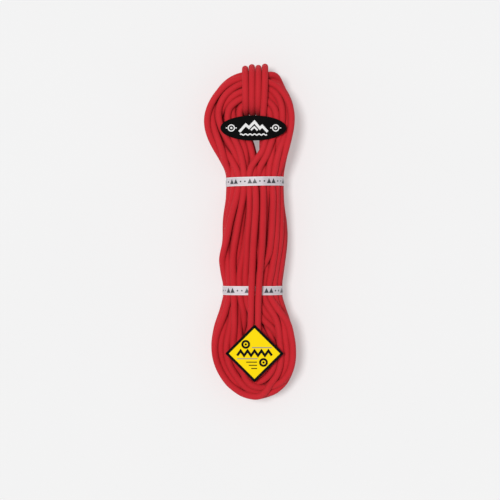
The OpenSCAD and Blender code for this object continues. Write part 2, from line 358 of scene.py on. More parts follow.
def whole_rope():
    """The rope before it settles, as one line, and how firmly each point is held in place."""
    bands = {side: band_cells(side) for side in (-1, 1)}
    legs = {side: leg_cells(bands[side]) for side in (-1, 1)}
    low = {side: traded(bands[side], BAND_TRADES[side]) for side in (-1, 1)}
    turns = len(bands[-1])
    head = {-1: traded(legs[-1], HEAD_LEFT_TRADES), 1: legs[1]}
    foot = {-1: traded(legs[-1], FOOT_LEFT_TRADES), 1: traded(legs[1], FOOT_RIGHT_TRADES)}
    pieces, held = [], []

    def add(line, hold=0.0):
        pieces.append(np.asarray(line, float))
        held.append(np.full(len(line), hold))

    def straight_end(route):
        ahead = np.array(route[-1], float) - np.array(route[-2], float)
        return np.array(route[-1]) + ahead / np.linalg.norm(ahead) * END_LENGTH

    left = spline(LEFT_ROUTE, 120)
    add(np.vstack([straight_end(LEFT_ROUTE), left[::-1]]), FREE_STRAND_HOLD)
    add(LEFT_LEAD[::-1], LEAD_HOLD)
    for k in range(turns):
        after = min(k + 1, turns - 1)
        change = CHANGE
        if legs[-1][k] in HEAD_LEFT_TRADES[0]:
            change = EARLY_CHANGE
        if head[1][k] == PROUD_CELL:
            change = PROUD_CHANGE
        up = quarter(HEAD_LEFT, bands[-1][k], head[-1][k], head[1][k], change=change)
        down = quarter(HEAD_RIGHT, bands[1][k], head[1][k], head[-1][k],
                       change=(2 - change[1], 2 - change[0]))
        out = quarter(FOOT_RIGHT, bands[1][k], foot[1][k], foot[-1][after], low[1][k])
        back = quarter(FOOT_LEFT, bands[-1][after], foot[-1][after], foot[1][k], low[-1][after])
        up, down, out, back = (wander(q, 1.2) for q in (up, down, out, back))
        if head[1][k] == PROUD_CELL:
            near = np.exp(-(((down[:, :2] - PROUD_AT) ** 2).sum(1)) / PROUD_REACH**2)
            down = down + near[:, None] * PROUD_BY
        if k == 0:
            up = up[up[:, 1] > FIRST_TURN_Y]
        add(up[:-1])
        add(down[::-1])
        add(out[1:-1])
        add(back[::-1][:-1])
        if k == turns - 1:
            last = quarter(HEAD_LEFT, bands[-1][-1], head[-1][-1], head[1][-1])
            add(last[(last[:, 1] < LAST_LEG_Y[1]) & (last[:, 1] > LAST_LEG_Y[0])])
    add(wrap_line(), WRAP_HOLD)
    add(RIGHT_LEAD, LEAD_HOLD)
    right = spline(RIGHT_ROUTE, 120)
    add(np.vstack([right, straight_end(RIGHT_ROUTE)]), FREE_STRAND_HOLD)
    line, hold = np.vstack(pieces), np.concatenate(held)
    along = np.concatenate([[0], np.cumsum(np.linalg.norm(np.diff(line, axis=0), axis=1))])
    even = resample(line, STEP)
    at = np.linspace(0, along[-1], len(even))
    hold = np.interp(at, along, hold)
    blend = np.clip((hold[:, None] - WRAP_HOLD) * 10, 0, 1)
    even = resample(even * blend + soften(even, 3.0) * (1 - blend), STEP)
    hold = np.interp(np.linspace(0, 1, len(even)), np.linspace(0, 1, len(hold)), hold)
    return soften(even, 1.2), np.minimum(soften(hold[:, None], 3.0)[:, 0], 1)


# ---------------------------------------------------------------- settling of the rope

# Strands nearer than this share of the rope's diameter cross there, a crossing's lift reaches
# this many points, and two crossings are at least so far apart
CROSSING_SHARE = 0.75
CROSSING_POINTS = 5.0
CROSSING_APART = 18.0
ROUNDS = 160
LATER_ROUNDS = 30
CROSSING_PASSES = 2

# Points of the rope fewer than this apart are one strand. Pairs of strands are looked up every
# few rounds, out to this share of the rope's diameter.
ONE_STRAND = 5
PAIRS_EVERY = 4
PAIRS_SHARE = 1.25

# How much less a point moves for each strand that pushes it, how strongly it is drawn back to
# where it was laid out (at first and at the least), how fast it sinks, and how much of its way
# from there is evened out, over how many points (at first and less at the end)
CROWDING = 0.6
HOME_PULL, HOME_PULL_LEAST = 0.02, 0.002
SINKING = 0.05
EVENING = 0.35
EVENING_POINTS, EVENING_FEWER = 4.0, 2.0

# Points held less firmly than this stay in the hank's outline, bands and height
LOOSE_HOLD = 0.3


def close_pairs(points, reach):
    """Pairs of points on different stretches of rope that are nearer than reach."""
    grid = np.floor(points / reach).astype(int)
    grid -= grid.min(0) - 1
    nx, ny = grid[:, 0].max() + 3, grid[:, 1].max() + 3
    key = (grid[:, 2] * ny + grid[:, 1]) * nx + grid[:, 0]
    order = np.argsort(key, kind="stable")
    ordered = key[order]
    firsts, seconds = [], []
    for dz in (0, 1):
        for dy in (-1, 0, 1):
            for dx in (-1, 0, 1):
                if (dz, dy, dx) < (0, 0, 0):
                    continue
                want = key + (dz * ny + dy) * nx + dx
                low = np.searchsorted(ordered, want, "left")
                count = np.searchsorted(ordered, want, "right") - low
                i = np.repeat(np.arange(len(points)), count)
                start = np.repeat(low - np.cumsum(count) + count, count)
                j = order[start + np.arange(len(i))]
                keep = i < j if (dz, dy, dx) == (0, 0, 0) else slice(None)
                firsts.append(i[keep])
                seconds.append(j[keep])
    i, j = np.concatenate(firsts), np.concatenate(seconds)
    apart = abs(i - j) >= ONE_STRAND
    i, j = i[apart], j[apart]
    near = np.linalg.norm(points[i] - points[j], axis=1) < reach
    return i[near], j[near]


def shove(points, outline, gap, inside):
    """How far each point has to move in plan to stand gap inside, or outside, an outline."""
    a, b = outline, np.roll(outline, -1, axis=0)
    edge = b - a
    p = points[:, None, :2] - a[None]
    t = np.clip((p * edge).sum(2) / (edge**2).sum(1), 0, 1)
    away = p - t[..., None] * edge
    distance = np.sqrt((away**2).sum(2))
    nearest = distance.argmin(1)
    rows = np.arange(len(points))
    away, distance = away[rows, nearest], distance[rows, nearest]
    py = points[:, None, 1]
    spans = (a[:, 1] > py) != (b[:, 1] > py)
    slope = edge[:, 0] / np.where(edge[:, 1] == 0, 1e-9, edge[:, 1])
    crossing = a[:, 0] + (py - a[:, 1]) * slope
    within = (spans & (points[:, None, 0] < crossing)).sum(1) % 2 == 1
    good = within if inside else ~within
    signed = np.where(good, distance, -distance)
    way = away / np.maximum(distance, 1e-6)[:, None] * np.where(good, 1, -1)[:, None]
    return way * np.maximum(gap - signed, 0)[:, None]


def outlines():
    """The outline of the whole skein and of its eye, seen from the front."""
    left = [row[2:4] for row in FOOT_LEFT[:0:-1] + HEAD_LEFT]
    right = [row[2:4] for row in FOOT_RIGHT[:0:-1] + HEAD_RIGHT]
    outer = np.array(left + right[::-1][1:-1], float)
    beside = np.exp(-((outer - PROUD_AT) ** 2).sum(1) / PROUD_REACH**2)
    outer += beside[:, None] * PROUD_BY[:2]
    round_eye = HEAD_LEFT[EYE_FROM:] + HEAD_RIGHT[:EYE_FROM - 1:-1][1:]
    return outer, np.array([row[:2] for row in round_eye], float)


def squeeze(points, at_y, middle_x, half_w):
    """Pulls the points under a band into its section."""
    under = abs(points[:, 1] - at_y) < SQUEEZE_HALF
    dx = (points[under, 0] - middle_x) / (half_w - ROPE_R)
    dz = (points[under, 2] - SECTION_MIDDLE_Z) / (SECTION_HALF_H - ROPE_R)
    full = (abs(dx) ** FULLNESS + abs(dz) ** FULLNESS) ** (1 / FULLNESS)
    scale = 1 / np.maximum(full, 1)
    points[under, 0] = middle_x + dx * scale * (half_w - ROPE_R)
    points[under, 2] = SECTION_MIDDLE_Z + dz * scale * (SECTION_HALF_H - ROPE_R)


def settle(line, hold, rounds):
    """Pushes strands that lie in each other apart, and keeps the rope smooth and in place."""
    home, free = line.copy(), 1 - hold
    outer, eye = outlines()
    loose = hold < LOOSE_HOLD
    count = len(line)
    for k in range(rounds):
        late = k / rounds
        if k % PAIRS_EVERY == 0:
            i, j = close_pairs(line, ROPE_D * PAIRS_SHARE)
        d = line[i] - line[j]
        distance = np.linalg.norm(d, axis=1)
        deep = distance < ROPE_D
        a, b = i[deep], j[deep]
        depth = ROPE_D - distance[deep]
        push = d[deep] * (depth / np.maximum(distance[deep], 1e-6))[:, None]
        share = free[a] / np.maximum(free[a] + free[b], 1e-6)
        move = np.zeros_like(line)
        hits = np.bincount(a, minlength=count) + np.bincount(b, minlength=count)
        for c in range(3):
            move[:, c] = (np.bincount(a, push[:, c] * share, count)
                          - np.bincount(b, push[:, c] * (1 - share), count))
        move /= np.maximum(hits, 1)[:, None] ** CROWDING
        move += (home - line) * (HOME_PULL * (1 - late) + HOME_PULL_LEAST)
        move[:, 2] -= SINKING * (1 - late)
        line = line + move * free[:, None]
        away = line - home
        evened = soften(away, EVENING_POINTS - EVENING_FEWER * late)
        line = line + (evened - away) * EVENING * free[:, None]
        even = (line[2:] + line[:-2]) / 2 - line[1:-1]
        tangent = line[2:] - line[:-2]
        tangent /= np.maximum(np.linalg.norm(tangent, axis=1), 1e-6)[:, None]
        line[1:-1] += 0.5 * (even * tangent).sum(1)[:, None] * tangent * free[1:-1, None]
        plain = line[loose]
        plain[:, :2] += shove(plain, outer, ROPE_R, True)
        plain[:, :2] += shove(plain, eye, ROPE_R, False)
        wrapped = (abs(plain[:, 0] - WRAPPED_X) < WRAPPED_HALF_W) & (plain[:, 1] > WRAPPED_Y)
        plain[wrapped, 2] = np.clip(plain[wrapped, 2], *WRAPPED_Z)
        for section in BAND_SECTIONS:
            squeeze(plain, *section)
        ceiling = np.interp(plain[:, 1], CEILING_Y, CEILING_Z)
        plain[:, 2] = np.clip(plain[:, 2], ROPE_R, ceiling)
        line[loose] = plain
    line = soften(line, 1.0)
    line[:, 2] = np.maximum(line[:, 2], ROPE_R)
    return line


def lift_crossings(line):
    """Where two strands still lie in each other, one is lifted and the other let down."""
    i, j = close_pairs(line, ROPE_D * CROSSING_SHARE)
    distance = np.linalg.norm(line[i] - line[j], axis=1)
    place = np.arange(len(line))
    level = soften(line[:, 2:], CROSSING_POINTS * 2)[:, 0]
    line = line.copy()
    done = []
    for k in np.argsort(distance):
        middle = (line[i[k]] + line[j[k]]) / 2
        if any(np.linalg.norm(middle - other) < CROSSING_APART for other in done):
            continue
        done.append(middle)
        over, under = (i[k], j[k]) if level[i[k]] > level[j[k]] else (j[k], i[k])
        need = ROPE_D - (line[over, 2] - line[under, 2])
        down = min(need / 2, line[under, 2] - ROPE_R)
        up = min(need - down, max(np.interp(middle[1], CEILING_Y, CEILING_Z) - line[over, 2], 0))
        down = min(need - up, line[under, 2] - ROPE_R)
        line[:, 2] += up * np.exp(-0.5 * ((place - over) / CROSSING_POINTS) ** 2)
        line[:, 2] -= down * np.exp(-0.5 * ((place - under) / CROSSING_POINTS) ** 2)
    return line


# ---------------------------------------------------------------- meshes

def add_object(name, verts, faces, finish, smooth=True):
    """A mesh object from points in millimetres and faces, with one material."""
    mesh = bpy.data.meshes.new(name)
    mesh.from_pydata((np.asarray(verts, float) * MM).tolist(), [], faces)
    mesh.polygons.foreach_set("use_smooth", [smooth] * len(mesh.polygons))
    mesh.materials.append(finish)
    mesh.update()
    thing = bpy.data.objects.new(name, mesh)
    bpy.context.collection.objects.link(thing)
    return thing


def swept(name, rings, along, around, finish, closed_ends=True, smooth=True):
    """A skin over rings of points, all with as many points. The UV map holds for each ring
    its value of along, and for each point of a ring its value of around, which has one
    value more than the ring has points."""
    count, sides = rings.shape[:2]
    i, j = np.meshgrid(np.arange(count - 1), np.arange(sides), indexing="ij")
    nxt = (j + 1) % sides
    quads = np.stack([i * sides + j, i * sides + nxt, (i + 1) * sides + nxt,
                      (i + 1) * sides + j], axis=-1).reshape(-1, 4)
    faces = quads.tolist()
    if closed_ends:
        faces += [list(range(sides))[::-1], [(count - 1) * sides + k for k in range(sides)]]
    thing = add_object(name, rings.reshape(-1, 3), faces, finish, smooth)
    u = np.stack([around[j], around[j + 1], around[j + 1], around[j]], axis=-1)
    v = np.stack([along[i], along[i], along[i + 1], along[i + 1]], axis=-1)
    uv = np.zeros((len(thing.data.loops), 2), np.float32)
    uv[:quads.size] = np.stack([u, v], axis=-1).reshape(-1, 2)
    thing.data.uv_layers.new(name="Swept").data.foreach_set("uv", uv.ravel())
    return thing


def distances(line):
    return np.concatenate([[0], np.cumsum(np.linalg.norm(np.diff(line, axis=0), axis=1))])


ROPE_SIDES = 14
SKIN_R = 5.12


def rope_mesh(line, finish):
    """The rope's surface round its line, turned as little as possible on its way."""
    ahead = np.gradient(line, axis=0)
    ahead /= np.linalg.norm(ahead, axis=1)[:, None]
    side = np.empty_like(line)
    start = np.cross(ahead[0], (0, 0, 1))
    side[0] = start / np.linalg.norm(start)
    for k in range(1, len(line)):
        turned = side[k - 1] - ahead[k] * side[k - 1].dot(ahead[k])
        side[k] = turned / math.sqrt(turned.dot(turned))
    up = np.cross(side, ahead)
    angle = np.linspace(0, 2 * math.pi, ROPE_SIDES + 1)
    ring = (np.cos(angle[:-1])[None, :, None] * side[:, None]
            + np.sin(angle[:-1])[None, :, None] * up[:, None])
    rings = line[:, None] + SKIN_R * ring
    rings[:, :, 2] = np.maximum(rings[:, :, 2], 0)
    return swept("rope", rings, distances(line) / ROPE_D, angle / (2 * math.pi), finish, False)


def hull(points):
    """The convex outline round points of a plane, anticlockwise."""
    ordered = sorted(map(tuple, points))

    def chain(rows):
        found = []
        for p in rows:
            while len(found) > 1:
                (ax, ay), (bx, by) = found[-2], found[-1]
                if (bx - ax) * (p[1] - ay) - (by - ay) * (p[0] - ax) > 0:
                    break
                found.pop()
            found.append(p)
        return found[:-1]

    return np.array(chain(ordered) + chain(ordered[::-1]))


TAPE_T = 0.28
TAPE_SLACK = 0.1
TAPE_LAP = 26.0
LOOP_STEP = 2.0
PAPER_T = 0.16
TAPE_CLEAR = 0.08

# A paper tape lies on strands above this height and this near, and bridges the gaps between
# them without sinking further than this below its highest point
FRONT_Z = 50
DRAPE_NEAR = 30
DRAPE_DIP = 2.5


def band_mesh(name, line, under, at_y, tilt, finish):
    """A turn of tape drawn tight round the strands that pass under it, lapped at the back."""
    near = under & (abs(line[:, 1] - at_y) < BAND_W / 2 + 4)
    angle = np.linspace(0, 2 * math.pi, 24, endpoint=False)
    circle = (SKIN_R + TAPE_SLACK) * np.column_stack([np.cos(angle), np.sin(angle)])
    dots = (line[near][:, None, (0, 2)] + circle[None]).reshape(-1, 2)
    dots[:, 1] = np.maximum(dots[:, 1], 2 * TAPE_T + TAPE_SLACK)
    outline = hull(dots)
    outline = np.roll(outline, -int(outline[:, 1].argmin()), axis=0)
    loop = np.column_stack([outline[:, 0], np.zeros(len(outline)), outline[:, 1]])
    loop = resample(np.vstack([loop, loop[:1]]), LOOP_STEP)
    turn = distances(loop)[-1]
    lap = int(TAPE_LAP / LOOP_STEP)
    loop = np.vstack([loop[:-1], loop[:lap]])
    heading = np.gradient(loop, axis=0)
    out = np.column_stack([heading[:, 2], np.zeros(len(loop)), -heading[:, 0]])
    out /= np.linalg.norm(out, axis=1)[:, None]
    late = smoothstep(np.arange(len(loop)), len(loop) - lap - 6, len(loop) - lap)
    loop = loop + out * (late * (TAPE_T + 0.02))[:, None]
    across = np.array([-1, -1, -0.93, 0.93, 1, 1]) * BAND_W / 2
    lift = np.array([0, 0.8, 1, 1, 0.8, 0]) * TAPE_T
    rings = loop[:, None] + out[:, None] * lift[None, :, None]
    rings[:, :, 1] += at_y + across[None] + (rings[:, :, 0] - 5) * math.tan(tilt)
    along = np.linspace(0, turn + TAPE_LAP, len(loop))
    return swept(name, rings, along, np.append(across, across[0]), finish)


def draped(name, line, xs, ys, rise, half_widths, finish):
    """A strip of tape that lies on the strands between rows of y and climbs to the card's
    hinge by the rise of each row. A row runs from x - half width to x + half width."""
    fine = resample(line, 1.5)
    fine = fine[(fine[:, 2] > FRONT_Z) & (abs(fine[:, 1] - np.mean(ys)) < DRAPE_NEAR)]
    steps = np.linspace(-1, 1, 13)
    rows = []
    for y, lift, half in zip(ys, rise, half_widths):
        x = xs + steps * half
        gap = (fine[None, :, 0] - x[:, None]) ** 2 + (fine[None, :, 1] - y) ** 2
        skin = fine[None, :, 2] + np.sqrt(np.maximum(SKIN_R**2 - gap, 0))
        top = np.where(gap < SKIN_R**2, skin, 0).max(1)
        for _ in range(40):
            bridge = top.copy()
            bridge[1:-1] = (top[:-2] + top[2:]) / 2
            top = np.maximum(top, bridge)
        level = np.maximum(top, top.max() - DRAPE_DIP)
        height = level * (1 - lift[1]) + lift[0] * lift[1] + TAPE_CLEAR
        rows.append(np.column_stack([x, np.full(len(x), y), height]))
    rows = np.array(rows)
    under, over = rows.copy(), rows.copy()
    over[:, :, 2] += PAPER_T
    rings = np.concatenate([over, under[:, ::-1]], axis=1)
    return swept(name, rings, np.arange(len(ys)), np.arange(rings.shape[1] + 1.0), finish,
                 smooth=False)


def back_leaf(name, middle, depth, half_widths, where, finish):
    """The half of a tape that is stuck to the back of a card, from its hinge inwards."""
    rows = []
    for y, half in zip(depth, half_widths):
        left, right, low = middle - half, middle + half, -CARD_T - PAPER_T
        near = [where(left, y, -CARD_T), where(right, y, -CARD_T)]
        far = [where(right, y, low), where(left, y, low)]
        rows.append(near + far)
    return swept(name, np.array(rows), np.arange(len(depth)), np.arange(5.0), finish,
                 smooth=False)


# ---------------------------------------------------------------- the two cards

CARD_T = 0.6
INK_T = 0.06
INK_SUNK = 0.02
OVAL_AT = (5.0, 161.3)
OVAL_FRONT = 71.2 + CARD_T
SQUARE_AT = (6.6, -147.0, 75.8)
SQUARE_MIDDLE = -42.8
SQUARE_SIDE = 64.5
SQUARE_TILT = math.radians(5.3)

# The oval card's paper tapes: their distance from its middle, half width, and y on the rope
OVAL_TAPE_OUT = 32
OVAL_TAPE_HALF_W = 5.0
OVAL_TAPE_Y = (164, 173.5)


def on_oval(x, y, z):
    return OVAL_AT[0] + x, OVAL_AT[1] + y, OVAL_FRONT + z


def on_square(x, y, z):
    """A point of the square card, x and y from its middle and z up from its front."""
    y, z = y + SQUARE_MIDDLE, z + CARD_T
    rise, run = math.sin(SQUARE_TILT), math.cos(SQUARE_TILT)
    return (SQUARE_AT[0] + x, SQUARE_AT[1] + y * run - z * rise,
            SQUARE_AT[2] + y * rise + z * run)


def printed(name, shapes, where, finish):
    """Ink on a card. Each shape is a strip of quads: a left and a right edge of points."""
    verts, faces = [], []
    for left, right in shapes:
        first, count = len(verts), len(left)
        for a, b in zip(left, right):
            verts += [where(*a, INK_T), where(*b, INK_T),
                      where(*b, -INK_SUNK), where(*a, -INK_SUNK)]
        for k in range(count - 1):
            here, there = first + 4 * k, first + 4 * (k + 1)
            for c in range(4):
                d = (c + 1) % 4
                faces.append([here + d, here + c, there + c, there + d])
        faces.append([first, first + 1, first + 2, first + 3])
        last = first + 4 * (count - 1)
        faces.append([last + 3, last + 2, last + 1, last])
    return add_object(name, verts, faces, finish, False)


def stroke(points, width):
    """The two edges of a stroke of even width along points, mitred at its corners."""
    p = np.array(points, float)
    ahead = np.diff(p, axis=0)
    ahead /= np.linalg.norm(ahead, axis=1)[:, None]
    before, after = np.vstack([ahead[:1], ahead]), np.vstack([ahead, ahead[-1:]])
    normal = np.column_stack([-(before + after)[:, 1], (before + after)[:, 0]])
    normal /= np.linalg.norm(normal, axis=1)[:, None]
    square = np.column_stack([-before[:, 1], before[:, 0]])
    offset = normal * (width / 2 / np.maximum((normal * square).sum(1), 0.4))[:, None]
    return (p + offset).tolist(), (p - offset).tolist()


def disc(x, y, radius):
    """A filled disc as a strip from its left to its right."""
    a = np.linspace(math.pi - 0.05, 0.05, 20)
    top = np.column_stack([x + radius * np.cos(a), y + radius * np.sin(a)])
    low = np.column_stack([x + radius * np.cos(a), y - radius * np.sin(a)])
    return top.tolist(), low.tolist()


def ring(x, y, radius, width):
    a = np.linspace(0, 2 * math.pi, 48)
    return stroke(np.column_stack([x + radius * np.cos(a), y + radius * np.sin(a)]), width)


def oval_print(finish):
    """Three summits over a rope's wavy line, between two small rings."""
    ridge = [(-22, -6), (-12, 5), (-7, 0.5), (1.5, 9.5), (10, -0.5), (13.5, 3), (22, -6)]
    t = np.linspace(-1, 1, 40)
    wave = np.column_stack([t * 21, -10.2 + 0.9 * np.sin(t * 6 * math.pi)])
    fold = [(-4, -3.4), (1.3, 1.6), (6.4, -3.8)]
    shapes = [stroke(ridge, 4.0), stroke(wave, 1.9), stroke(fold, 2.6)]
    for side in (-1, 1):
        shapes += [ring(side * 34.5, 0, 4.8, 1.6), disc(side * 34.5, 0, 1.7)]
        shapes.append(stroke([(side * 26, 0), (side * 28.4, 0)], 1.5))
        shapes.append(stroke([(side * 40.6, 0), (side * 43, 0)], 1.5))
    return printed("oval_print", shapes, on_oval, finish)


def square_print(ink, grey):
    """A black border, a zigzag bar, rings in two corners, two thin lines and three dashes."""
    half = SQUARE_SIDE / math.sqrt(2)
    edge = half - 2.85
    corners = [(0, edge), (edge, 0), (0, -edge), (-edge, 0), (0, edge)]
    border = [stroke([a, b], 4.2) for a, b in zip(corners, corners[1:])]
    tips = [disc(x * (half - 2.75), y * (half - 2.75), 2.1) for x, y in
            ((0, 1), (1, 0), (0, -1), (-1, 0))]
    steps = np.arange(11)
    zigzag = np.column_stack([-27 + 5.4 * steps, np.where(steps % 2, 4.4, -3.2)])
    shapes = border + tips + [stroke(zigzag, 3.8)]
    for x, y in ((-13.6, 14.4), (14.0, -14.0)):
        shapes += [ring(x, y, 5.2, 3.4), disc(x, y, 1.8)]
    for k in range(3):
        shapes.append(stroke([(-13 + 4 * k, -13.5 - 5 * k), (4, -13.5 - 5 * k)], 1.5))
    lines = [stroke([(-4, 9.3), (27, 9.3)], 1.4), stroke([(-27, -8.2), (5, -8.2)], 1.4)]
    return (printed("square_print", shapes, on_square, ink),
            printed("square_lines", lines, on_square, grey))


# ---------------------------------------------------------------- materials

class Number:
    """A number in a shader's node tree, with the usual arithmetic."""

    def __init__(self, tree, socket):
        self.tree, self.socket = tree, socket

    def op(self, kind, *others):
        node = self.tree.nodes.new("ShaderNodeMath")
        node.operation = kind
        for at, value in enumerate((self, *others)):
            if isinstance(value, Number):
                self.tree.links.new(value.socket, node.inputs[at])
            else:
                node.inputs[at].default_value = value
        return Number(self.tree, node.outputs[0])

    def __add__(self, other):
        return self.op("ADD", other)

    def __sub__(self, other):
        return self.op("SUBTRACT", other)

    def __mul__(self, other):
        return self.op("MULTIPLY", other)

    def fract(self):
        return self.op("FRACT")

    def floor(self):
        return self.op("FLOOR")

    def bump_profile(self):
        """1 in the middle of each whole step and 0 at its ends."""
        off = self.fract() * 2 - 1
        return (off * off) * -1 + 1


def material(name, colour, roughness):
    made = bpy.data.materials.new(name)
    made.use_nodes = True
    shader = made.node_tree.nodes["Principled BSDF"]
    shader.inputs["Base Color"].default_value = (*colour, 1)
    shader.inputs["Roughness"].default_value = roughness
    return made, made.node_tree, shader


def node(tree, kind, **values):
    made = tree.nodes.new(kind)
    for name, value in values.items():
        made.inputs[name.replace("_", " ")].default_value = value
    return made


def noise(tree, scale, detail):
    """A noise value in the object's own coordinates, scale in cycles a metre."""
    where = tree.nodes.new("ShaderNodeTexCoord")
    made = node(tree, "ShaderNodeTexNoise", Scale=scale, Detail=detail, Roughness=0.55)
    tree.links.new(where.outputs["Object"], made.inputs["Vector"])
    return Number(tree, made.outputs["Fac"])


def ramp(tree, value, stops):
    """A colour from a value, by stops of (place, colour)."""
    made = tree.nodes.new("ShaderNodeValToRGB")
    while len(made.color_ramp.elements) < len(stops):
        made.color_ramp.elements.new(0.5)
    for element, (at, colour) in zip(made.color_ramp.elements, stops):
        element.position = at
        element.color = (*colour, 1)
    tree.links.new(value.socket, made.inputs["Fac"])
    return made.outputs["Color"]


def bump(tree, shader, height, distance, strength):
    made = node(tree, "ShaderNodeBump", Strength=strength, Distance=distance)
    tree.links.new(height.socket, made.inputs["Height"])
    tree.links.new(made.outputs["Normal"], shader.inputs["Normal"])


BRAID_YARNS = 16
BRAID_PITCH = 5.2


def sheath_material():
    """A braid of yarns that pass over and under each other on two spirals, with painted shade
    darkening the creases between them.
    """
    made, tree, shader = material("sheath_red", (0.6, 0.03, 0.04), 0.75)
    u, v = swept_uv(tree)
    one = u * BRAID_YARNS + v * BRAID_PITCH
    two = u * BRAID_YARNS - v * BRAID_PITCH
    parity = (one.floor() + two.floor()).op("MODULO", 2.0).op("ABSOLUTE")
    across_one = one.bump_profile() * (two.bump_profile() * 0.5 + 0.5)
    across_two = two.bump_profile() * (one.bump_profile() * 0.5 + 0.5)
    height = across_one * parity + across_two * (parity * -1 + 1)
    fuzz = noise(tree, 900, 4)
    patches = noise(tree, 9, 3)
    # The braid's height darkens the colour in its creases as painted shade. Random patches and
    # fuzz are added to that tone.
    tone = height * 0.34 + patches * 0.5 + fuzz * 0.16
    colour = ramp(tree, tone, [(0.12, (0.42, 0.007, 0.012)), (0.45, (0.6, 0.019, 0.029)),
                               (0.85, (0.7, 0.033, 0.046))])
    tree.links.new(colour, shader.inputs["Base Color"])
    rough = height * -0.12 + fuzz * 0.15 + 0.72
    tree.links.new(rough.socket, shader.inputs["Roughness"])
    shader.inputs["Sheen Weight"].default_value = 0.17
    shader.inputs["Sheen Roughness"].default_value = 0.5
    shader.inputs["Sheen Tint"].default_value = (1, 0.25, 0.25, 1)
    shader.inputs["Specular IOR Level"].default_value = 0.1
    bump(tree, shader, height + fuzz * 0.3, 0.00035, 0.8)
    return made


def swept_uv(tree):
    """Round, and along, of a swept piece."""
    where = tree.nodes.new("ShaderNodeUVMap")
    where.uv_map = "Swept"
    split = tree.nodes.new("ShaderNodeSeparateXYZ")
    tree.links.new(where.outputs["UV"], split.inputs[0])
    return Number(tree, split.outputs["X"]), Number(tree, split.outputs["Y"])


# The tape's print comes again after this length, with two peaks of this width
PRINT_STEP = 31.0
PEAK_W = 7.8


def tape_material():
    """Pale satin tape with lighter edges and a small grey pattern of peaks and dots."""
    made, tree, shader = material("packing_tape", (0.66, 0.6, 0.64), 0.42)
    across, along = swept_uv(tree)
    place = ((along * (1 / PRINT_STEP)).fract() - 0.5) * PRINT_STEP
    teeth = ((place * (1 / PEAK_W)).fract() * -2 + 1).op("ABSOLUTE") * -1 + 1
    filled = across.op("LESS_THAN", teeth * 8.0 - 3.6) * across.op("GREATER_THAN", -3.4)
    peaks = filled * place.op("ABSOLUTE").op("LESS_THAN", PEAK_W)
    off = (place.op("ABSOLUTE") - 12.0).op("POWER", 2.0) + across.op("POWER", 2.0)
    dots = off.op("LESS_THAN", 1.7)
    wear = noise(tree, 420, 4)
    ink = (peaks + dots).op("MINIMUM", 1.0) * (wear * 0.4 + 0.84).op("MINIMUM", 1.0)
    rim = ((across.op("ABSOLUTE") - 5.6) * 1.3).op("MAXIMUM", 0.0).op("MINIMUM", 1.0)
    tone = (noise(tree, 60, 3) * 0.25 + rim * 0.5 + 0.22) * (ink * -1 + 1)
    colour = ramp(tree, tone, [(0.0, (0.045, 0.045, 0.055)), (0.3, (0.62, 0.565, 0.605)),
                               (0.55, (0.69, 0.64, 0.675)), (0.95, (0.84, 0.82, 0.83))])
    tree.links.new(colour, shader.inputs["Base Color"])
    tree.links.new((noise(tree, 90, 2) * 0.25 + 0.32).socket, shader.inputs["Roughness"])
    bump(tree, shader, noise(tree, 55, 3) + ink * 0.05, 0.0006, 0.35)
    return made


def card_material(name, colour, darker, roughness, shine=0.06):
    """Coated card: an even ink film with slight mottling and a fine tooth."""
    made, tree, shader = material(name, colour, roughness)
    tone = noise(tree, 35, 4)
    tree.links.new(ramp(tree, tone, [(0.3, darker), (0.65, colour)]), shader.inputs["Base Color"])
    tree.links.new((noise(tree, 160, 3) * 0.16 + (roughness - 0.08)).socket,
                   shader.inputs["Roughness"])
    shader.inputs["Specular IOR Level"].default_value = shine
    bump(tree, shader, noise(tree, 1400, 2), 0.00006, 0.5)
    return made


def plastic_material(name, colour, darker, roughness):
    """Moulded or shrunk plastic with faint handling marks."""
    made, tree, shader = material(name, colour, roughness)
    marks = noise(tree, 260, 5)
    tree.links.new(ramp(tree, marks, [(0.3, darker), (0.7, colour)]), shader.inputs["Base Color"])
    tree.links.new((marks * 0.3 + roughness - 0.1).socket, shader.inputs["Roughness"])
    bump(tree, shader, noise(tree, 700, 3), 0.00012, 0.4)
    return made


def core_material():
    """White core yarns, as a fine mottle."""
    made, tree, shader = material("core_yarn", (0.8, 0.79, 0.76), 0.8)
    strands = noise(tree, 1500, 4)
    tree.links.new(ramp(tree, strands, [(0.3, (0.6, 0.58, 0.55)), (0.7, (0.85, 0.84, 0.81))]),
                   shader.inputs["Base Color"])
    shader.inputs["Sheen Weight"].default_value = 0.3
    bump(tree, shader, strands, 0.0002, 0.8)
    return made


def floor_material():
    """A pale backdrop, lit a little from below as on a light table."""
    made, tree, shader = material("backdrop", (0.58, 0.58, 0.58), 0.9)
    tone = noise(tree, 3, 2)
    tree.links.new(ramp(tree, tone, [(0.2, (0.573, 0.573, 0.574)), (0.8, (0.585, 0.585, 0.586))]),
                   shader.inputs["Base Color"])
    shader.inputs["Specular IOR Level"].default_value = 0.05
    shader.inputs["Emission Color"].default_value = (1, 1, 1, 1)
    shader.inputs["Emission Strength"].default_value = 0.32
    return made


# ---------------------------------------------------------------- floor and light

FLOOR_HALF = 3000.0
KEY_POWER = 2.0
KEY_SOFTNESS = math.radians(15)
KEY_TILT = math.radians(14)
KEY_HEADING = math.radians(-20)
WORLD_STRENGTH = 0.38


def make_floor():
    s = FLOOR_HALF
    floor = add_object("floor", [(-s, -s, 0), (s, -s, 0), (s, s, 0), (-s, s, 0)],
                       [(0, 1, 2, 3)], floor_material())


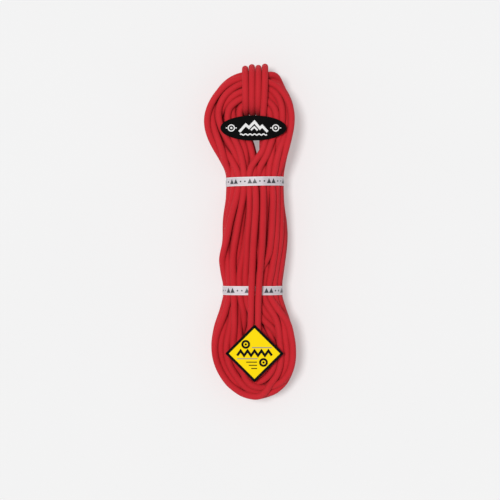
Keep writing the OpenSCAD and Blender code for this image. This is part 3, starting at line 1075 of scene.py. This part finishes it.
def make_light():
    data = bpy.data.lights.new("key", "SUN")
    data.energy = KEY_POWER
    data.angle = KEY_SOFTNESS
    key = bpy.data.objects.new("key", data)
    bpy.context.collection.objects.link(key)
    key.rotation_euler = (0, -KEY_TILT, KEY_HEADING)
    world = bpy.data.worlds.new("world")
    world.use_nodes = True
    background = world.node_tree.nodes["Background"]
    background.inputs["Color"].default_value = (1, 1, 1, 1)
    background.inputs["Strength"].default_value = WORLD_STRENGTH
    bpy.context.scene.world = world
    bpy.context.scene.view_settings.view_transform = "Standard"


# ---------------------------------------------------------------- the pieces

def make_rope():
    """The rope on its settled line, which is handed back with how firmly it is held."""
    line, hold = whole_rope()
    line = settle(line, hold, ROUNDS)
    for _ in range(CROSSING_PASSES):
        line = settle(lift_crossings(line), hold, LATER_ROUNDS)
    rope = rope_mesh(line, sheath_material())
    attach(rope, "hank")
    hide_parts("hank", "wrap_coil", "front_strand_left", "front_strand_right",
                "end_sheath_left", "end_sheath_right")
    tuple(line[0] * MM)
    [tuple(p * MM) for p in line]
    return line, hold


def make_bands(line, hold):
    """The upper band holds every strand, and the lower one all but the two free strands."""
    tape = tape_material()
    every = np.ones(len(line), bool)
    for name, at_y, under, tilt in (("band_upper", UPPER_BAND_Y, every, 1.0),
                                    ("band_lower", LOWER_BAND_Y, hold < LOOSE_HOLD, 0.0)):
        band = band_mesh(name + "_tape", line, under, at_y, math.radians(tilt), tape)
        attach(band, "hank")
        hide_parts(name)


def make_prints():
    white = card_material("white_ink", (0.85, 0.85, 0.84), (0.76, 0.76, 0.76), 0.45)
    black = card_material("black_ink", (0.006, 0.0065, 0.007), (0.003, 0.003, 0.004), 0.42, 0.03)
    grey = card_material("grey_ink", (0.3, 0.3, 0.3), (0.24, 0.24, 0.25), 0.45)
    prints = [(oval_print(white), "oval_label", "oval_card")]
    prints += [(piece, "diamond_label", "diamond_card") for piece in square_print(black, grey)]
    for piece, body, slot in prints:
        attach(piece, body)


def make_oval_tapes(line, paper):
    """Two paper tapes, each with a strip on the rope and a leaf on the back of the card."""
    for side, name in ((-1, "oval_tape_left"), (1, "oval_tape_right")):
        rows = np.linspace(*OVAL_TAPE_Y, 8)
        strip = draped(name + "_strip", line, OVAL_AT[0] + side * OVAL_TAPE_OUT, rows,
                       [(0.0, 0.0)] * len(rows), [OVAL_TAPE_HALF_W] * len(rows), paper)
        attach(strip, "hank")
        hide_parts(name)
        leaf = back_leaf(name + "_leaf", side * OVAL_TAPE_OUT, [12.2, 7.5, 2.7],
                         [OVAL_TAPE_HALF_W] * 3, on_oval, paper)
        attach(leaf, "oval_label")


def make_square_tape(line, paper):
    """The paper tape at the square card's top corner, which climbs to the card's hinge."""
    steps = np.linspace(0, 1, 9)
    hinge_z = SQUARE_AT[2] - PAPER_T - TAPE_CLEAR
    strip = draped("diamond_tape_strip", line, SQUARE_AT[0], -162 + 15 * steps,
                   [(hinge_z, smoothstep(t, 0.6, 1.0)) for t in steps],
                   np.minimum(7.4, 2.0 + 15 * (1 - steps)), paper)
    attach(strip, "hank")
    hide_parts("diamond_tape")
    leaf = back_leaf("diamond_tape_leaf", 0.0, [42.8, 38.5, 34.0, 29.0], [2.0, 5.5, 7.4, 7.4],
                     on_square, paper)
    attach(leaf, "diamond_label")


def finish_cad_pieces():
    """Better materials for the CAD pieces that keep their shape."""
    black_card = card_material("black_card", (0.0012, 0.0012, 0.0014), (0.0005, 0.0005, 0.0006),
                               0.42, 0.02)
    yellow_card = card_material("yellow_card", (1.0, 0.74, 0.0), (0.97, 0.7, 0.0), 0.42)
    sleeve = plastic_material("shrink_sleeve", (0.02, 0.02, 0.022), (0.01, 0.01, 0.011), 0.3)
    tip = plastic_material("melted_tip", (0.2, 0.01, 0.012), (0.1, 0.006, 0.008), 0.35)
    marker = plastic_material("marker_film", (0.75, 0.74, 0.3), (0.6, 0.58, 0.2), 0.35)
    for finish, nodes in ((black_card, ["oval_card"]), (yellow_card, ["diamond_card"]),
                          (sleeve, ["end_sleeve_left", "end_sleeve_right"]),
                          (tip, ["end_tip_left", "end_tip_right"]),
                          (marker, ["marker_tape_left", "marker_tape_right"]),
                          (core_material(), ["end_core_left", "end_core_right"])):
        for cad_node in nodes:
            bpy.data.objects[cad_node].material_slots[0].material = finish


# ---------------------------------------------------------------- run

make_camera()
line, hold = make_rope()
make_bands(line, hold)
make_prints()
paper_tape = card_material("paper_tape", (0.78, 0.77, 0.73), (0.7, 0.69, 0.65), 0.6)
make_oval_tapes(line, paper_tape)
make_square_tape(line, paper_tape)
finish_cad_pieces()
make_floor()
make_light()
